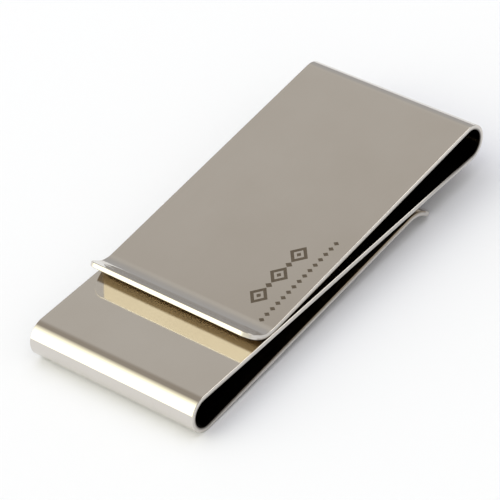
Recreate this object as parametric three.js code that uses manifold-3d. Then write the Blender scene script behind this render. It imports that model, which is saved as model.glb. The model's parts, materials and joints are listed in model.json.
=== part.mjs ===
// A double-sided money clip: one strip of spring steel, folded twice into a flat Z.
// Banknotes go under the top leaf and cards go under the bottom leaf, and both leaves
// press on the middle leaf between them. Each leaf opens by flexing the bend behind it.
//
// The strip has no loose pieces, so its nodes are its formed zones. They meet face to face.
// A bend is divided at its apex, where it flexes: each half belongs to the leaf beside it.
//
// Frame: millimetres, +X from the front bend to the rear bend, +Y across the strip, +Z up.
// The origin is under the middle of the clip, which stands on its front bend and bottom lip.

import * as THREE from "three";
import { mergeVertices } from "three/addons/utils/BufferGeometryUtils.js";
import Module from "manifold-3d";

const wasm = await Module();
wasm.setup();

// ---- driving dimensions -------------------------------------------------------------

const WIDTH = 30; // across the strip
const SHEET = 0.75; // sheet thickness
const BEND_RADIUS = 2.62; // both bends, to the middle of the sheet
const MIDDLE_LENGTH = 61.2; // flat of the middle leaf, from bend to bend
const TOP_LENGTH = 45.8; // flat of the top leaf, from the rear bend to its lip
const BOTTOM_LENGTH = 46.1; // flat of the bottom leaf, from the front bend to its lip
const TOP_GAP = 0.15; // free gap where the top leaf comes nearest to the middle leaf
const BOTTOM_GAP = 0.45; // free gap where the bottom leaf comes nearest to the middle leaf
const LIP_RADIUS = 4.65; // flare of a lip, to the middle of the sheet
const LIP_ANGLE = THREE.MathUtils.degToRad(45); // how far a lip turns away from its leaf
const LIP_STRAIGHT = 2.2; // flat end of a lip, past its flare
const CORNER_RADIUS = 1.5; // a lip's two corners, in plan

const BEND_SEGMENTS = 16; // facets in half a bend
const FLARE_SEGMENTS = 10; // facets in a lip's flare
const CORNER_SEGMENTS = 10; // facets in a lip's corner

// ---- materials ----------------------------------------------------------------------

const steel = (color) => new THREE.MeshStandardMaterial({ color, roughness: 0.15, metalness: 1 });
const leafSteel = steel(0xa9a196);
const bendSteel = steel(0xc9c2b7);
const lipSteel = steel(0xb9b6b0);

// ---- the strip's side profile: points and angles in X and Z ---------------------------

const QUARTER = Math.PI / 2;
const HALF_SHEET = SHEET / 2;
const ANGLE_PASSES = 20; // far more than the closing angle needs to settle

const direction = (angle) => new THREE.Vector2(Math.cos(angle), Math.sin(angle));
const away = (point, angle, distance) => point.clone().addScaledVector(direction(angle), distance);

// The angle between a leaf and the middle leaf. The leaf starts at the bend's far side and
// closes to `gap` over its own length. The angle is in its own equation, so it is iterated.
function closingAngle(length, gap) {
  let angle = 0;
  for (let pass = 0; pass < ANGLE_PASSES; pass++) {
    const drop = BEND_RADIUS * (1 + Math.cos(angle)) - SHEET - gap;
    angle = Math.asin(drop / length);
  }
  return angle;
}

// Every place on the profile, with the middle leaf lying at the angle `middle`.
function profileAt(middle) {
  const top = middle + closingAngle(TOP_LENGTH, TOP_GAP);
  const bottom = middle + closingAngle(BOTTOM_LENGTH, BOTTOM_GAP);
  const front = new THREE.Vector2(0, BEND_RADIUS + HALF_SHEET);
  const middleFront = away(front, middle + QUARTER, BEND_RADIUS);
  const middleRear = away(middleFront, middle, MIDDLE_LENGTH);
  const rear = away(middleRear, middle + QUARTER, BEND_RADIUS);
  const topRoot = away(away(rear, top + QUARTER, BEND_RADIUS), top, -TOP_LENGTH);
  const bottomRoot = away(away(front, bottom - QUARTER, BEND_RADIUS), bottom, BOTTOM_LENGTH);
  return { middle, top, bottom, front, rear, topRoot, bottomRoot };
}

// The lower edge of the bottom lip's tip, which the clip stands on.
function bottomTip(profile) {
  const centre = away(profile.bottomRoot, profile.bottom - QUARTER, LIP_RADIUS);
  const flareEnd = away(centre, profile.bottom + QUARTER - LIP_ANGLE, LIP_RADIUS - HALF_SHEET);
  return away(flareEnd, profile.bottom - LIP_ANGLE, LIP_STRAIGHT);
}

// Turned about the front bend, the profile stands on that bend and on the bottom lip's tip.
const flatLying = profileAt(0);
const toTip = bottomTip(flatLying).sub(flatLying.front);
const standing = Math.asin((BEND_RADIUS + HALF_SHEET) / toTip.length());
const profile = profileAt(-standing - toTip.angle() + 2 * Math.PI);

// ---- outlines of the formed zones, in X and Z -----------------------------------------

// A flat leaf: a strip of sheet from `start`, its middle, for `length` at `angle`.
function flatOutline(start, angle, length) {
  const outline = new THREE.Shape();
  const end = away(start, angle, length);
  const corners = [
    away(start, angle - QUARTER, HALF_SHEET),
    away(end, angle - QUARTER, HALF_SHEET),
    away(end, angle + QUARTER, HALF_SHEET),
    away(start, angle + QUARTER, HALF_SHEET),
  ];
  return outline.setFromPoints(corners).closePath();
}

// An arc of sheet about `centre`, from one angle counterclockwise to another.
function arcOutline(centre, radius, from, to, segments) {
  const outline = new THREE.Shape();
  const rim = (r, share) => away(centre, from + (to - from) * share, r);
  const points = [];
  for (let i = 0; i <= segments; i++) {
    points.push(rim(radius + HALF_SHEET, i / segments));
  }
  for (let i = segments; i >= 0; i--) {
    points.push(rim(radius - HALF_SHEET, i / segments));
  }
  return outline.setFromPoints(points).closePath();
}

// A lip: an arc that turns away from its leaf, then a flat end. The lip at the leaf's rear
// end (`side` 1) turns down, and the one at its front end (`side` -1) turns up.
function lipOutline(root, angle, side) {
  const outline = new THREE.Shape();
  const centre = away(root, angle - side * QUARTER, LIP_RADIUS);
  const start = angle + side * QUARTER;
  const out = side > 0 ? angle : angle + Math.PI;
  const radii = [LIP_RADIUS + HALF_SHEET, LIP_RADIUS - HALF_SHEET];
  const faces = radii.map((r) => {
    const face = [];
    for (let i = 0; i <= FLARE_SEGMENTS; i++) {
      face.push(away(centre, start - (LIP_ANGLE * i) / FLARE_SEGMENTS, r));
    }
    face.push(away(face.at(-1), out - LIP_ANGLE, LIP_STRAIGHT));
    return face;
  });
  return outline.setFromPoints([...faces[1], ...faces[0].reverse()]).closePath();
}

// ---- solids ---------------------------------------------------------------------------

const PRISM_HEIGHT = 40; // taller than the whole clip
const MERGE_DISTANCE = 1e-4; // vertices closer than this are one vertex

// The outline, drawn out to the full width of the strip.
function acrossStrip(outline) {
  const geometry = new THREE.ExtrudeGeometry(outline, { depth: WIDTH, bevelEnabled: false });
  return geometry.translate(0, 0, -WIDTH / 2).rotateX(QUARTER);
}

// A tall prism whose plan has the lip's two rounded corners at `tipX`.
function cornerPrism(rootX, tipX) {
  const side = Math.sign(tipX - rootX);
  const half = WIDTH / 2;
  const cornerX = tipX - side * CORNER_RADIUS;
  const cornerY = half - CORNER_RADIUS;
  const points = [];
  for (const y of [-1, 1]) {
    for (let i = 0; i <= CORNER_SEGMENTS; i++) {
      const turn = (QUARTER * i) / CORNER_SEGMENTS;
      const { x: out, y: across } = direction(y < 0 ? QUARTER - turn : turn);
      const point = [cornerX + side * CORNER_RADIUS * out, y * (cornerY + CORNER_RADIUS * across)];
      points.push(new THREE.Vector2(...point));
    }
  }
  points.push(new THREE.Vector2(rootX, half));
  points.push(new THREE.Vector2(rootX, -half));
  const plan = new THREE.Shape().setFromPoints(points).closePath();
  const prism = new THREE.ExtrudeGeometry(plan, { depth: PRISM_HEIGHT, bevelEnabled: false });
  return prism.translate(0, 0, -PRISM_HEIGHT / 2);
}

function toSolid(geometry) {
  const bare = geometry.clone();
  bare.deleteAttribute("normal");
  bare.deleteAttribute("uv");
  const merged = mergeVertices(bare, MERGE_DISTANCE);
  const vertProperties = merged.attributes.position.array;
  const triVerts = new Uint32Array(merged.index.array);
  return new wasm.Manifold(new wasm.Mesh({ numProp: 3, vertProperties, triVerts }));
}

function toGeometry(solid) {
  const mesh = solid.getMesh();
  const geometry = new THREE.BufferGeometry();
  geometry.setAttribute("position", new THREE.BufferAttribute(mesh.vertProperties, 3));
  geometry.setIndex(new THREE.BufferAttribute(mesh.triVerts, 1));
  geometry.computeVertexNormals();
  return geometry;
}

// A lip across the strip, with its two corners rounded. The prism starts behind the lip's
// root, so it cuts nothing there.
function lipGeometry(root, angle, side) {
  const whole = acrossStrip(lipOutline(root, angle, side));
  whole.computeBoundingBox();
  const tipX = side > 0 ? whole.boundingBox.max.x : whole.boundingBox.min.x;
  const corners = cornerPrism(root.x - side * SHEET, tipX);
  return toGeometry(toSolid(whole).intersect(toSolid(corners)));
}

// ---- the clip ---------------------------------------------------------------------------

const { middle, top, bottom, front, rear, topRoot, bottomRoot } = profile;

const leaf = (start, angle, length) => acrossStrip(flatOutline(start, angle, length));
const bend = (centre, from, to) => acrossStrip(arcOutline(centre, BEND_RADIUS, from, to, BEND_SEGMENTS));

const zones = {
  top_lip: [lipGeometry(topRoot, top, -1), lipSteel],
  top_leaf: [leaf(topRoot, top, TOP_LENGTH), leafSteel],
  rear_bend_upper: [bend(rear, 0, top + QUARTER), bendSteel],
  rear_bend_lower: [bend(rear, middle - QUARTER, 0), bendSteel],
  middle_leaf: [leaf(away(front, middle + QUARTER, BEND_RADIUS), middle, MIDDLE_LENGTH), leafSteel],
  front_bend_upper: [bend(front, middle + QUARTER, Math.PI), bendSteel],
  front_bend_lower: [bend(front, Math.PI, bottom + 3 * QUARTER), bendSteel],
  bottom_leaf: [leaf(away(front, bottom - QUARTER, BEND_RADIUS), bottom, BOTTOM_LENGTH), leafSteel],
  bottom_lip: [lipGeometry(bottomRoot, bottom, 1), lipSteel],
};

// The strip reaches one outer bend radius past each bend's centre, which sets the middle in X.
const strip = new THREE.Group();
const middleX = (front.x + rear.x) / 2;
for (const [name, [geometry, material]] of Object.entries(zones)) {
  const mesh = new THREE.Mesh(geometry.translate(-middleX, 0, 0), material);
  mesh.name = name;
  strip.add(mesh);
}

export default strip;
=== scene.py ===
"""The looks of a double-sided money clip: one strip of polished spring steel, folded into a flat Z.

Five sheet pieces stand for the clip's nine plain CAD zones: the top leaf with its lip, the rear
bend, the middle leaf, the front bend, and the bottom leaf with its lip. Each piece starts as a
flat blank with rounded edges, and is wrapped along its own line in X and Z. An ornament is
etched into the top leaf.
"""

import json
import math

import bpy
import numpy as np
from mathutils import Matrix, Vector


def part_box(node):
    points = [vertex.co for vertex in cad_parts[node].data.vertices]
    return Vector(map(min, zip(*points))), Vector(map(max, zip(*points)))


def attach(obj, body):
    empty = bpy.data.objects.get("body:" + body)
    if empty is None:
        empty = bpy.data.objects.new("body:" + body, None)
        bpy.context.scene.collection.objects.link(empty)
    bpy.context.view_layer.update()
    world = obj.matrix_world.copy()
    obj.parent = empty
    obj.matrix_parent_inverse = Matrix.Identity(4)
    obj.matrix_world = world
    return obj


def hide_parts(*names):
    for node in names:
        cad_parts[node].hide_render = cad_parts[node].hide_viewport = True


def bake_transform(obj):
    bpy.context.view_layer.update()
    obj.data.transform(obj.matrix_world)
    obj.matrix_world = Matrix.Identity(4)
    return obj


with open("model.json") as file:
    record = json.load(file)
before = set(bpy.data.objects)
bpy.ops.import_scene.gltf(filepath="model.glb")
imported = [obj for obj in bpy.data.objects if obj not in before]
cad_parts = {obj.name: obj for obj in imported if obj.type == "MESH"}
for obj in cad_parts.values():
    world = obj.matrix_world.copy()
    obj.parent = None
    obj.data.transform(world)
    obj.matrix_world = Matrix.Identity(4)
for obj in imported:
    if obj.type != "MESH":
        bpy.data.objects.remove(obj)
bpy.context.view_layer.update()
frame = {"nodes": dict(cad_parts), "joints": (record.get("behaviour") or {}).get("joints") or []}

MM = 0.001

# ---- sheet and lips -------------------------------------------------------------------

EDGE_FILLET = 0.13 * MM  # the tumbled edges of the strip
LIP_RADIUS = 4.65 * MM  # flare of a lip, to the middle of the sheet
LIP_ANGLE = math.radians(45)
LIP_STRAIGHT = 2.2 * MM  # flat end of a lip, past its flare
LIP_CORNER = 1.7 * MM  # rounding of the blank's four corners, on the flat
STUB = 3 * MM  # flat at each end of a bend, so that the seams lie on flats

FILLET_STEPS = 5
CORNER_STEPS = 24
COLUMNS = 16  # faces across the strip
FLAT_STEP = 3 * MM
SHORTEST_STEP = 0.09 * MM  # a row nearer than this to the end is left out
TURN_STEP = math.radians(3)


def unit(angle):
    """The unit vector at an angle, in X and Z."""
    return np.array([math.cos(angle), math.sin(angle)])


class SheetLine:
    """The middle line of a stretch of sheet, in X and Z: straight runs and arcs, end to end.

    origin and sense give the line's place on the whole strip before it is folded. They keep
    the steel's grain whole from one piece to the next.
    """

    def __init__(self, start, heading, origin, sense):
        self.runs = []
        self.length = 0.0
        self.point = np.array(start)
        self.heading = heading
        self.origin = origin
        self.sense = sense

    def add(self, length, turn=0.0):
        self.runs.append((self.length, self.point, self.heading, length, turn))
        self.point, self.heading = self.place(self.length + length)
        self.length += length
        return self

    def arc(self, radius, turn):
        return self.add(radius * abs(turn), turn)

    def place(self, distance):
        """The point and the heading at a distance along the line."""
        started = [run for run in self.runs if run[0] <= distance]
        start, point, heading, length, turn = (started or self.runs[:1])[-1]
        gone = distance - start
        if turn == 0:
            return point + gone * unit(heading), heading
        bend = length / turn
        now = heading + gone / bend
        swing = unit(now - math.pi / 2) - unit(heading - math.pi / 2)
        return point + bend * swing, now

    def rows(self, end):
        """Distances from 0 to end, close together on the arcs and wide apart on the flats."""
        found = [0.0]
        for start, _, _, length, turn in self.runs:
            steps = math.ceil(max(length / FLAT_STEP, abs(turn) / TURN_STEP))
            found += [start + length * (i + 1) / steps for i in range(steps)]
        return [d for d in found if d < end - SHORTEST_STEP] + [end]


def leaf_ends(node):
    """The two ends of a flat leaf's middle line, front end first, and its thickness."""
    corners = {}
    for vertex in frame["nodes"][node].data.vertices:
        key = (round(vertex.co.x, 5), round(vertex.co.z, 5))
        corners[key] = (vertex.co.x, vertex.co.z)
    places = np.array([corners[key] for key in sorted(corners)])
    ends = places[:2].mean(0), places[-2:].mean(0)
    return ends[0], ends[1], np.linalg.norm(places[1] - places[0])


def heading_of(start, end):
    return math.atan2(end[1] - start[1], end[0] - start[0])


top_front, top_rear, SHEET = leaf_ends("top_leaf")
middle_front, middle_rear, _ = leaf_ends("middle_leaf")
bottom_front, bottom_rear, _ = leaf_ends("bottom_leaf")
strip_low, strip_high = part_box("middle_leaf")
HALF_WIDTH = (strip_high.y - strip_low.y) / 2

MIDDLE = heading_of(middle_front, middle_rear)
TOP = heading_of(top_front, top_rear)
BOTTOM = heading_of(bottom_front, bottom_rear)
apex = {joint["name"]: joint["pos_m"] for joint in frame["joints"]}
rear_z = apex["note_gap_flex"][2]
front_z = apex["card_gap_flex"][2]
REAR_RADIUS = (top_rear[1] - rear_z) / math.cos(TOP)
FRONT_RADIUS = (front_z - bottom_front[1]) / math.cos(BOTTOM)

# The inner faces of the folds get painted shade, and are rougher. These distances are along the blank
# from a bend's apex:
# where the painted shade begins and is full on the middle leaf, and is full and ends on the lip,
# where it paints the dark band under the lip's edge.
BEND_PLACE = np.linalg.norm(middle_rear - middle_front) / 2 + math.pi / 2 * REAR_RADIUS
LIP_PLACE = math.pi / 2 * REAR_RADIUS + np.linalg.norm(top_rear - top_front)
# Painted shade: these set where the inner faces of the folds are darkened.
SHADE_ON_MIDDLE = (-16 * MM, -7 * MM)
SHADE_ON_LIP = (LIP_PLACE + 4.0 * MM, LIP_PLACE + 4.3 * MM)
DARKEST = (6 * MM, 40 * MM)  # from the apex: where the painted shade on the inner faces stops being black, and is brown


def make_lines():
    """The five pieces' middle lines. All but the middle leaf run outwards from it."""
    flat = np.linalg.norm(middle_rear - middle_front) - 2 * STUB
    middle_seams = [
        middle_front + STUB * unit(MIDDLE),
        middle_rear - STUB * unit(MIDDLE),
    ]
    middle = SheetLine(middle_seams[0], MIDDLE, -flat / 2, 1).add(flat)

    rear = SheetLine(middle_seams[1], MIDDLE, flat / 2, 1).add(STUB)
    rear.arc(REAR_RADIUS, math.pi + TOP - MIDDLE).add(STUB)
    front = SheetLine(middle_seams[0], MIDDLE + math.pi, -flat / 2, -1).add(STUB)
    front.arc(FRONT_RADIUS, math.pi + BOTTOM - MIDDLE).add(STUB)

    lines = {"middle": middle, "rear": rear, "front": front}
    for name, bend, leaf in (
        ("top", rear, np.linalg.norm(top_rear - top_front)),
        ("bottom", front, np.linalg.norm(bottom_rear - bottom_front)),
    ):
        line = SheetLine(
            bend.point, bend.heading, bend.origin + bend.sense * bend.length, bend.sense
        )
        line.add(leaf - STUB).arc(LIP_RADIUS, -LIP_ANGLE).add(LIP_STRAIGHT)
        lines[name] = line
    return lines


def edge_levels():
    """The edge of the sheet from its upper face to its lower face, as inset, height, and the
    normal's share along the height and outwards."""
    levels = []
    for step in range(FILLET_STEPS + 1):
        turn = math.pi / 2 * step / FILLET_STEPS
        inset = EDGE_FILLET * (1 - math.sin(turn))
        height = SHEET / 2 - EDGE_FILLET * (1 - math.cos(turn))
        levels.append((inset, height, math.cos(turn), math.sin(turn)))
    return levels + [(inset, -height, -up, out) for inset, height, up, out in reversed(levels)]


def blank_outline(line, rounded):
    """The blank's outline from one seam corner round to the other, as distance, Y, and the
    outward normal's two parts. Also the number of rows."""
    end = line.length - LIP_CORNER if rounded else line.length
    side = [(distance, HALF_WIDTH, 0.0, 1.0) for distance in line.rows(end)]
    if rounded:
        for step in range(1, CORNER_STEPS + 1):
            turn = math.pi / 2 * step / CORNER_STEPS
            out, across = math.sin(turn), math.cos(turn)
            y = HALF_WIDTH - LIP_CORNER + LIP_CORNER * across
            side.append((end + LIP_CORNER * out, y, out, across))
    tip = []
    if rounded:
        half = HALF_WIDTH - LIP_CORNER
        tip = [
            (line.length, half * (1 - 2 * column / COLUMNS), 1.0, 0.0)
            for column in range(1, COLUMNS)
        ]
    other = [(distance, -y, out, -across) for distance, y, out, across in reversed(side)]
    return side + tip + other, len(side)


def wrapped_sheet(name, line, rounded=False):
    """A mesh object: the blank with rounded edges, wrapped along its line."""
    levels = edge_levels()
    outline, rows = blank_outline(line, rounded)
    last = len(levels) - 1
    places, normals, edges = [], [], []

    def vertex(distance, y, height, normal, edge):
        places.append((distance, y, height))
        normals.append(normal)
        edges.append(edge)
        return len(places) - 1

    rim = [
        [
            vertex(d - inset * out, y - inset * across, height, (side * out, side * across, up), side)
            for inset, height, up, side in levels
        ]
        for d, y, out, across in outline
    ]

    def face_rows(level, up):
        """The vertices of the upper or lower face, row by row across the strip."""
        grid = []
        for row in range(rows):
            left, right = rim[row][level], rim[len(rim) - 1 - row][level]
            if rounded and row == rows - 1:
                inner = [rim[row + column][level] for column in range(1, COLUMNS)]
            else:
                d, y, height = places[left]
                inner = [
                    vertex(d, y * (1 - 2 * column / COLUMNS), height, (0, 0, up), 0.0)
                    for column in range(1, COLUMNS)
                ]
            grid.append([left, *inner, right])
        return grid

    upper, lower = face_rows(0, 1), face_rows(last, -1)
    faces = []
    for row in range(rows - 1):
        for c in range(COLUMNS):
            here, there = upper[row], upper[row + 1]
            faces.append((here[c], here[c + 1], there[c + 1], there[c]))
            here, there = lower[row], lower[row + 1]
            faces.append((here[c + 1], here[c], there[c], there[c + 1]))
    for j in range(len(rim) - 1):
        if rounded or j != rows - 1:
            for k in range(last):
                faces.append((rim[j][k], rim[j + 1][k], rim[j + 1][k + 1], rim[j][k + 1]))

    def cap(row, left, right):
        """The faces that close the sheet at a seam: one at each edge, and a row between them."""
        ends = [list(left), list(reversed(right))]
        for c in range(COLUMNS):
            ends.append([upper[row][c], lower[row][c], lower[row][c + 1], upper[row][c + 1]])
        return ends

    caps = cap(0, rim[0], rim[-1])
    if not rounded:
        caps += [face[::-1] for face in cap(rows - 1, rim[rows - 1], rim[rows])]

    world, world_normals = [], []
    for (distance, y, height), (along, across, up) in zip(places, normals):
        point, heading = line.place(distance)
        tangent, normal = unit(heading), unit(heading + math.pi / 2)
        x, z = point + height * normal
        nx, nz = along * tangent + up * normal
        world.append((x, y, z))
        world_normals.append(Vector((nx, across, nz)).normalized())

    mesh = bpy.data.meshes.new(name)
    mesh.from_pydata(world, [], [list(face) for face in faces + caps])
    mesh.shade_smooth()
    corner_normals = []
    for polygon in mesh.polygons:
        flat = polygon.index >= len(faces)
        for corner in polygon.vertices:
            corner_normals.append(polygon.normal.copy() if flat else world_normals[corner])
    mesh.normals_split_custom_set(corner_normals)

    blank = mesh.attributes.new("blank_place", "FLOAT_VECTOR", "POINT")
    on_strip = [
        (line.origin + line.sense * d, y, line.sense * height) for d, y, height in places
    ]
    blank.data.foreach_set("vector", np.array(on_strip, np.float32).ravel())
    mesh.attributes.new("edge", "FLOAT", "POINT").data.foreach_set("value", edges)
    obj = bpy.data.objects.new(name, mesh)
    bpy.context.scene.collection.objects.link(obj)
    return obj


# ---- the etched ornament --------------------------------------------------------------

MARK_DEPTH = 0.02 * MM  # below the leaf's outer face
MARK_PROUD = 0.006 * MM  # above it, so that the two faces don't share a plane
MARK_REAR = -0.4 * MM  # X of the lozenges' rear end
LOZENGE_Y = -9.1 * MM
LOZENGE_PITCH = 4.6 * MM
LOZENGE_COUNT = 3
LOZENGE_HALF = (1.75 * MM, 1.6 * MM)
LOZENGE_WALL = 0.42  # share of the lozenge that its outline takes
LOZENGE_HEART = 0.25  # size of the small lozenge inside it, as a share
DIAMOND_HALF = (0.5 * MM, 0.62 * MM)
BEAD_Y = -12.45 * MM
BEAD_START = 2.6 * MM  # how far the first bead is behind the lozenges' rear end
BEAD_COUNT = 15
BEAD_PITCH = 1.22 * MM
BEAD_HALF = (0.4 * MM, 0.5 * MM)


def etched_ornament(line):
    """A row of open lozenges with small diamonds between them, beside a row of beads."""
    vertices, faces = [], []
    outer = SHEET / 2

    def ring(centre, half, share, height):
        spots = []
        for along, across in ((1, 0), (0, 1), (-1, 0), (0, -1)):
            distance = centre[0] + half[0] * share * along
            point, heading = line.place(distance)
            x, z = point - height * unit(heading + math.pi / 2)
            vertices.append((x, centre[1] + half[1] * share * across, z))
            spots.append(len(vertices) - 1)
        return spots

    def shape(centre, half, hole=0.0):
        top, low = outer + MARK_PROUD, outer - MARK_DEPTH
        outside = [ring(centre, half, 1.0, height) for height in (top, low)]
        walls = [(outside[0], outside[1])]
        if hole:
            inside = [ring(centre, half, hole, height) for height in (top, low)]
            walls += [(inside[1], inside[0])]
            walls += [(inside[0], outside[0]), (outside[1], inside[1])]
        else:
            faces.append(outside[0][::-1])
            faces.append(outside[1])
        for first, second in walls:
            for i in range(4):
                j = (i + 1) % 4
                faces.append((first[i], first[j], second[j], second[i]))

    # Distances grow from the rear seam towards the lip, so X is turned round.
    seam_x = line.runs[0][1][0]
    rear = (seam_x - MARK_REAR) / math.cos(TOP)
    for i in range(LOZENGE_COUNT):
        centre = rear + LOZENGE_HALF[0] + i * LOZENGE_PITCH
        shape((centre, LOZENGE_Y), LOZENGE_HALF, 1 - LOZENGE_WALL)
        shape((centre, LOZENGE_Y), [half * LOZENGE_HEART for half in LOZENGE_HALF])
        if i < LOZENGE_COUNT - 1:
            shape((centre + LOZENGE_PITCH / 2, LOZENGE_Y), DIAMOND_HALF)
    for i in range(BEAD_COUNT):
        shape((rear - BEAD_START + i * BEAD_PITCH, BEAD_Y), BEAD_HALF)

    mesh = bpy.data.meshes.new("etched_ornament")
    mesh.from_pydata(vertices, [], faces)
    obj = bpy.data.objects.new("etched_ornament", mesh)
    bpy.context.scene.collection.objects.link(obj)
    return obj


# ---- materials ------------------------------------------------------------------------


def new_material(name):
    """A new material with its nodes, its links and its principled shader."""
    material = bpy.data.materials.new(name)
    material.use_nodes = True
    nodes, links = material.node_tree.nodes, material.node_tree.links
    return material, nodes, links, nodes["Principled BSDF"]


def stretched_noise(nodes, links, source, stretch, detail):
    """Noise on the flat blank, with its own number of repeats per metre along each axis."""
    scale = nodes.new("ShaderNodeVectorMath")
    scale.operation = "MULTIPLY"
    scale.inputs[1].default_value = stretch
    links.new(source, scale.inputs[0])
    noise = nodes.new("ShaderNodeTexNoise")
    noise.inputs["Scale"].default_value = 1.0
    noise.inputs["Detail"].default_value = detail
    links.new(scale.outputs[0], noise.inputs["Vector"])
    return noise.outputs["Fac"]


def map_range(nodes, links, source, low, high, to_low, to_high):
    node = nodes.new("ShaderNodeMapRange")
    links.new(source, node.inputs["Value"])
    node.inputs["From Min"].default_value = low
    node.inputs["From Max"].default_value = high
    node.inputs["To Min"].default_value = to_low
    node.inputs["To Max"].default_value = to_high
    return node.outputs["Result"]


def math_node(nodes, links, operation, *sources):
    """The result of an operation on sockets and plain numbers."""
    node = nodes.new("ShaderNodeMath")
    node.operation = operation
    for socket, source in zip(node.inputs, sources):
        if isinstance(source, (int, float)):
            socket.default_value = source
        else:
            links.new(source, socket)
    return node.outputs[0]


def mix_colors(nodes, links, factor, first, second):
    """A mix of two colours, each a socket or plain values."""
    node = nodes.new("ShaderNodeMix")
    node.data_type = "RGBA"
    links.new(factor, node.inputs["Factor"])
    for socket, source in ((node.inputs["A"], first), (node.inputs["B"], second)):
        if isinstance(source, tuple):
            socket.default_value = source
        else:
            links.new(source, socket)
    return node.outputs["Result"]


def painted_fold_shade(nodes, links, place):
    """How much painted shade, with added roughness, the steel gets: 1 inside the two folds, where
    shade falls between the leaves, and 0 elsewhere. Also the distance along the blank from the nearer
    bend's apex.

    The rear fold is at the positive end of the blank and closes on its upper face. The front
    fold is at the negative end and closes on its lower face.
    """
    split = nodes.new("ShaderNodeSeparateXYZ")
    links.new(place, split.inputs[0])
    along, height = split.outputs["X"], split.outputs["Z"]
    inward = math_node(nodes, links, "MULTIPLY", math_node(nodes, links, "SIGN", along), height)
    inner_face = map_range(nodes, links, inward, 0, SHEET / 2, 0, 1)
    from_middle = math_node(nodes, links, "ABSOLUTE", along)
    past_apex = math_node(nodes, links, "SUBTRACT", from_middle, BEND_PLACE)
    begun = map_range(nodes, links, past_apex, *SHADE_ON_MIDDLE, 0, 1)
    left = map_range(nodes, links, past_apex, *SHADE_ON_LIP, 1, 0)
    reach = math_node(nodes, links, "MULTIPLY", begun, left)
    return math_node(nodes, links, "MULTIPLY", inner_face, reach), past_apex


def polished_steel():
    """Polished stainless steel: hairlines along the strip, faint cloudiness, softer edges, and
    painted shade inside the folds, black near the apex and brown further out, where the steel is also
    rougher."""
    material, nodes, links, shader = new_material("polished_steel")
    shader.inputs["Metallic"].default_value = 1.0
    place = nodes.new("ShaderNodeAttribute")
    place.attribute_name = "blank_place"
    edge = nodes.new("ShaderNodeAttribute")
    edge.attribute_name = "edge"

    hairlines = stretched_noise(nodes, links, place.outputs["Vector"], (120, 9000, 0), 3)
    clouds = stretched_noise(nodes, links, place.outputs["Vector"], (90, 90, 90), 4)

    tint = mix_colors(
        nodes,
        links,
        map_range(nodes, links, clouds, 0.3, 0.7, 0, 1),
        (0.655, 0.622, 0.578, 1),
        (0.68, 0.65, 0.61, 1),
    )
    # Painted shade: the inner faces of the folds turn black near each bend's apex and brown further
    # out.
    shade_and_dullness, past_apex = painted_fold_shade(nodes, links, place.outputs["Vector"])
    lighter = map_range(nodes, links, past_apex, *DARKEST, 0, 1)
    brown = mix_colors(nodes, links, lighter, (0.02, 0.015, 0.01, 1), (0.22, 0.17, 0.11, 1))
    shown = mix_colors(nodes, links, shade_and_dullness, tint, brown)
    links.new(shown, shader.inputs["Base Color"])

    hair_roughness = map_range(nodes, links, hairlines, 0.35, 0.65, 0.05, 0.11)
    edge_roughness = map_range(nodes, links, edge.outputs["Fac"], 0.2, 1.0, 0.0, 0.22)
    dull_roughness = map_range(nodes, links, shade_and_dullness, 0, 1, 0.0, 0.15)
    polish = math_node(nodes, links, "ADD", hair_roughness, edge_roughness)
    roughness = math_node(nodes, links, "ADD", polish, dull_roughness)
    links.new(roughness, shader.inputs["Roughness"])

    bump = nodes.new("ShaderNodeBump")
    bump.inputs["Strength"].default_value = 0.25
    bump.inputs["Distance"].default_value = 0.0004 * MM
    links.new(hairlines, bump.inputs["Height"])
    links.new(bump.outputs["Normal"], shader.inputs["Normal"])
    return material


def etched_steel():
    """The ornament: steel roughened by the etching, darker than the polish round it."""
    material, nodes, links, shader = new_material("etched_steel")
    shader.inputs["Metallic"].default_value = 1.0
    place = nodes.new("ShaderNodeTexCoord")
    grain = stretched_noise(nodes, links, place.outputs["Object"], (9000, 9000, 9000), 2)
    speckle = map_range(nodes, links, grain, 0.3, 0.7, 0, 1)
    tint = mix_colors(nodes, links, speckle, (0.17, 0.14, 0.11, 1), (0.27, 0.23, 0.19, 1))
    links.new(tint, shader.inputs["Base Color"])
    links.new(map_range(nodes, links, grain, 0.3, 0.7, 0.45, 0.65), shader.inputs["Roughness"])
    return material


def floor_paper():
    """Matte white paper, very slightly blue."""
    material, nodes, links, shader = new_material("floor_paper")
    shader.inputs["Base Color"].default_value = (0.84, 0.86, 0.93, 1)
    shader.inputs["Roughness"].default_value = 0.9
    shader.inputs["Specular IOR Level"].default_value = 0.0
    return material


# ---- the clip -------------------------------------------------------------------------


def build_clip():
    """The five sheet pieces and the ornament. The three leaf sheets and the ornament go on their
    bodies; the two bends stay unattached.
    """
    steel = polished_steel()
    lines = make_lines()
    flexing = {
        "rear_bend": (lines["rear"], "middle", "note_leaf", rear_z, REAR_RADIUS, 1),
        "front_bend": (lines["front"], "middle", "card_leaf", front_z, FRONT_RADIUS, -1),
    }
    riding = {
        "note_leaf_sheet": (lines["top"], "note_leaf", ("top_leaf", "top_lip"), True),
        "middle_sheet": (lines["middle"], "middle", ("middle_leaf",), False),
        "card_leaf_sheet": (lines["bottom"], "card_leaf", ("bottom_leaf", "bottom_lip"), True),
    }
    for name, (line, body, zones, rounded) in riding.items():
        sheet = wrapped_sheet(name, line, rounded)
        sheet.data.materials.append(steel)
        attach(sheet, body)
        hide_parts(*zones)
    for name, (line, body, leaf, centre_z, radius, up) in flexing.items():
        sheet = wrapped_sheet(name, line)
        sheet.data.materials.append(steel)
        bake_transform(sheet)
        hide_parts(name + "_upper", name + "_lower")

    ornament = etched_ornament(lines["top"])
    ornament.data.materials.append(etched_steel())
    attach(ornament, "note_leaf")


# ---- camera, floor and light ----------------------------------------------------------

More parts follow.
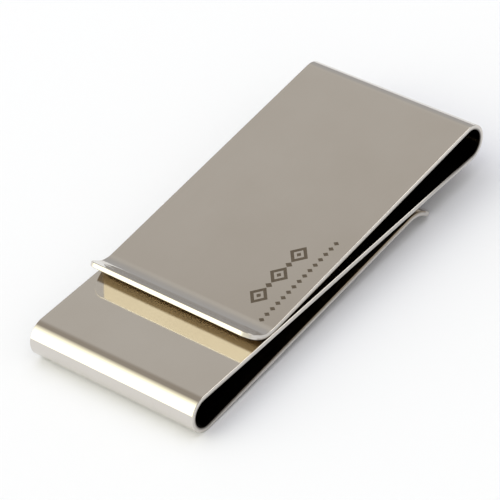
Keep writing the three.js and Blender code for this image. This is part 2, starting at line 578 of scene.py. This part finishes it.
CAMERA_AZIMUTH = math.radians(-44.54)
CAMERA_ELEVATION = math.radians(40.72)
CAMERA_ROLL = math.radians(-9.61)
CAMERA_DISTANCE = 458 * MM
CAMERA_TARGET = Vector((-1.02, 1.59, 2.32)) * MM
CAMERA_LENS = 229.6  # for a sensor 36 wide


def add_camera():
    level = math.cos(CAMERA_ELEVATION)
    back = Vector((
        math.sin(CAMERA_AZIMUTH) * level,
        -math.cos(CAMERA_AZIMUTH) * level,
        math.sin(CAMERA_ELEVATION),
    ))
    right = Vector((0, 0, 1)).cross(back).normalized()
    up = back.cross(right)
    turned = Matrix.Rotation(CAMERA_ROLL, 3, back)
    camera = bpy.data.objects.new("camera", bpy.data.cameras.new("camera"))
    bpy.context.scene.collection.objects.link(camera)
    axes = Matrix((turned @ right, turned @ up, back)).transposed()
    camera.matrix_world = Matrix.LocRotScale(
        CAMERA_TARGET + back * CAMERA_DISTANCE, axes.to_quaternion(), None
    )
    camera.data.sensor_width = 36
    camera.data.lens = CAMERA_LENS
    camera.data.clip_start = 0.01
    camera.data.clip_end = 20
    bpy.context.scene.camera = camera


FLOOR_HALF = 2.0
FLOOR_DROP = 0.05 * MM  # keeps the floor clear of the steel that stands on it


def add_floor():
    corners = [(x * FLOOR_HALF, y * FLOOR_HALF, 0) for x, y in ((-1, -1), (1, -1), (1, 1), (-1, 1))]
    mesh = bpy.data.meshes.new("floor")
    mesh.from_pydata(corners, [], [(0, 1, 2, 3)])
    floor = bpy.data.objects.new("floor", mesh)
    bpy.context.scene.collection.objects.link(floor)
    floor.location.z = -FLOOR_DROP
    floor.data.materials.append(floor_paper())


def add_softbox(name, direction, distance, size, radiance, color, mirrored):
    """A rectangular light that faces the clip from a direction. A mirrored one shows in the
    steel, and the others only light matte faces."""
    data = bpy.data.lights.new(name, "AREA")
    data.shape = "RECTANGLE"
    data.size, data.size_y = size
    data.energy = radiance * math.pi * size[0] * size[1]
    data.color = color
    light = bpy.data.objects.new(name, data)
    bpy.context.scene.collection.objects.link(light)
    outward = Vector(direction).normalized()
    light.location = outward * distance
    light.rotation_mode = "QUATERNION"
    light.rotation_quaternion = outward.to_track_quat("Z", "Y")
    light.visible_camera = False
    light.visible_glossy = mirrored
    light.visible_diffuse = not mirrored


GLOW_X = (-0.04, -0.55)  # X of the directions where the glow starts, and where it is full
GLOW_Y = (0.1, 0.4)  # Y of the directions where it is weak, and where it is full
GLOW_WEAK = 0.25  # its share where it is weak
GLOW_COLOR = (2.5, 2.43, 1.93, 1)


def add_world():
    """A plain grey surround, with a broad warm glow at the back left that fades out overhead."""
    world = bpy.data.worlds.new("surround")
    world.use_nodes = True
    bpy.context.scene.world = world
    nodes, links = world.node_tree.nodes, world.node_tree.links
    direction = nodes.new("ShaderNodeTexCoord")
    split = nodes.new("ShaderNodeSeparateXYZ")
    links.new(direction.outputs["Generated"], split.inputs[0])
    ramp = nodes.new("ShaderNodeValToRGB")
    stops = ramp.color_ramp.elements
    stops[0].position, stops[0].color = 0.0, (0.49, 0.49, 0.50, 1)
    stops[1].position, stops[1].color = 1.0, (0.40, 0.38, 0.35, 1)
    for position, color in (
        (0.40, (0.52, 0.51, 0.50, 1)),
        (0.60, (0.615, 0.59, 0.55, 1)),
        (0.70, (0.59, 0.56, 0.52, 1)),
        (0.80, (0.40, 0.36, 0.31, 1)),
    ):
        stops.new(position).color = color
    links.new(split.outputs["Z"], ramp.inputs["Fac"])
    leftward = map_range(nodes, links, split.outputs["X"], *GLOW_X, 0, 1)
    backward = map_range(nodes, links, split.outputs["Y"], *GLOW_Y, GLOW_WEAK, 1)
    glow = math_node(nodes, links, "MULTIPLY", leftward, backward)
    shown = mix_colors(nodes, links, glow, ramp.outputs["Color"], GLOW_COLOR)
    links.new(shown, nodes["Background"].inputs["Color"])


build_clip()
add_camera()
add_floor()
add_world()
add_softbox("right_panel", (0.53, -0.45, 0.7), 0.9, (0.5, 0.4), 2.2, (1.0, 0.98, 0.95), True)
add_softbox("floor_fill", (0.1, 0.1, 1.0), 1.4, (1.8, 1.8), 1.2, (0.93, 0.95, 1.0), False)
bpy.context.scene.view_settings.view_transform = "Standard"
